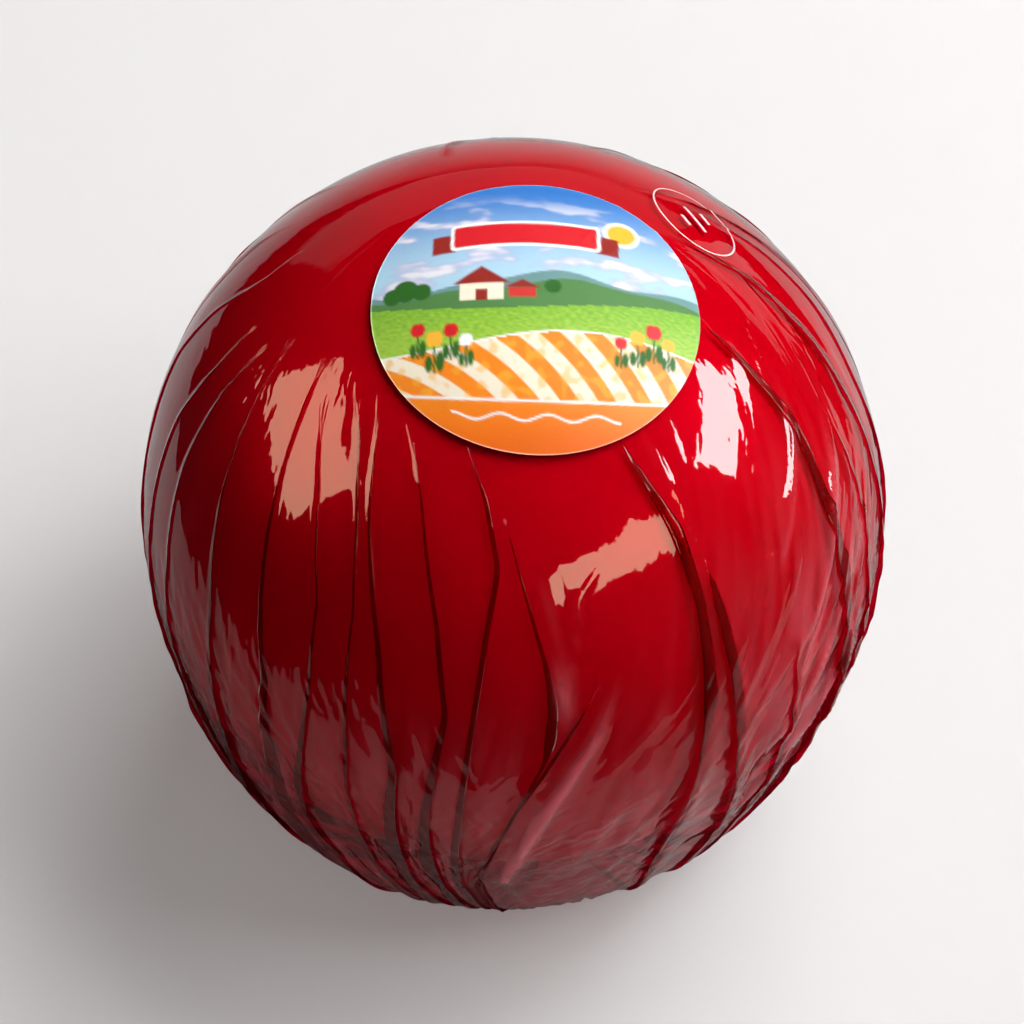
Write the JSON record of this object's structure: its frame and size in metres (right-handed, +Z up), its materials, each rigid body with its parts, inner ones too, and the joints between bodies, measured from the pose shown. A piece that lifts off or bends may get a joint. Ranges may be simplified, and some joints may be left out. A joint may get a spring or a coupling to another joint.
{
  "type": "film-wrapped ball of cheese",
  "caption": "Ball-shaped waxed cheese in tinted clear film, pleated down the sides and gathered under the base, with a round paper label on top.",
  "frame": {"origin": "middle of the footprint, on the surface that the ball stands on", "axes": "+Z up through the label, -Y towards the picture's front, +X to its right"},
  "size_m": [0.1508, 0.1501, 0.1418],
  "materials": {
    "film": "gloss",
    "wax": "satin",
    "label": "satin",
    "ink": "satin"
  },
  "bodies": {
    "root": {"wrapped_cheese": "film", "label": "label"}
  },
  "joints": []
}
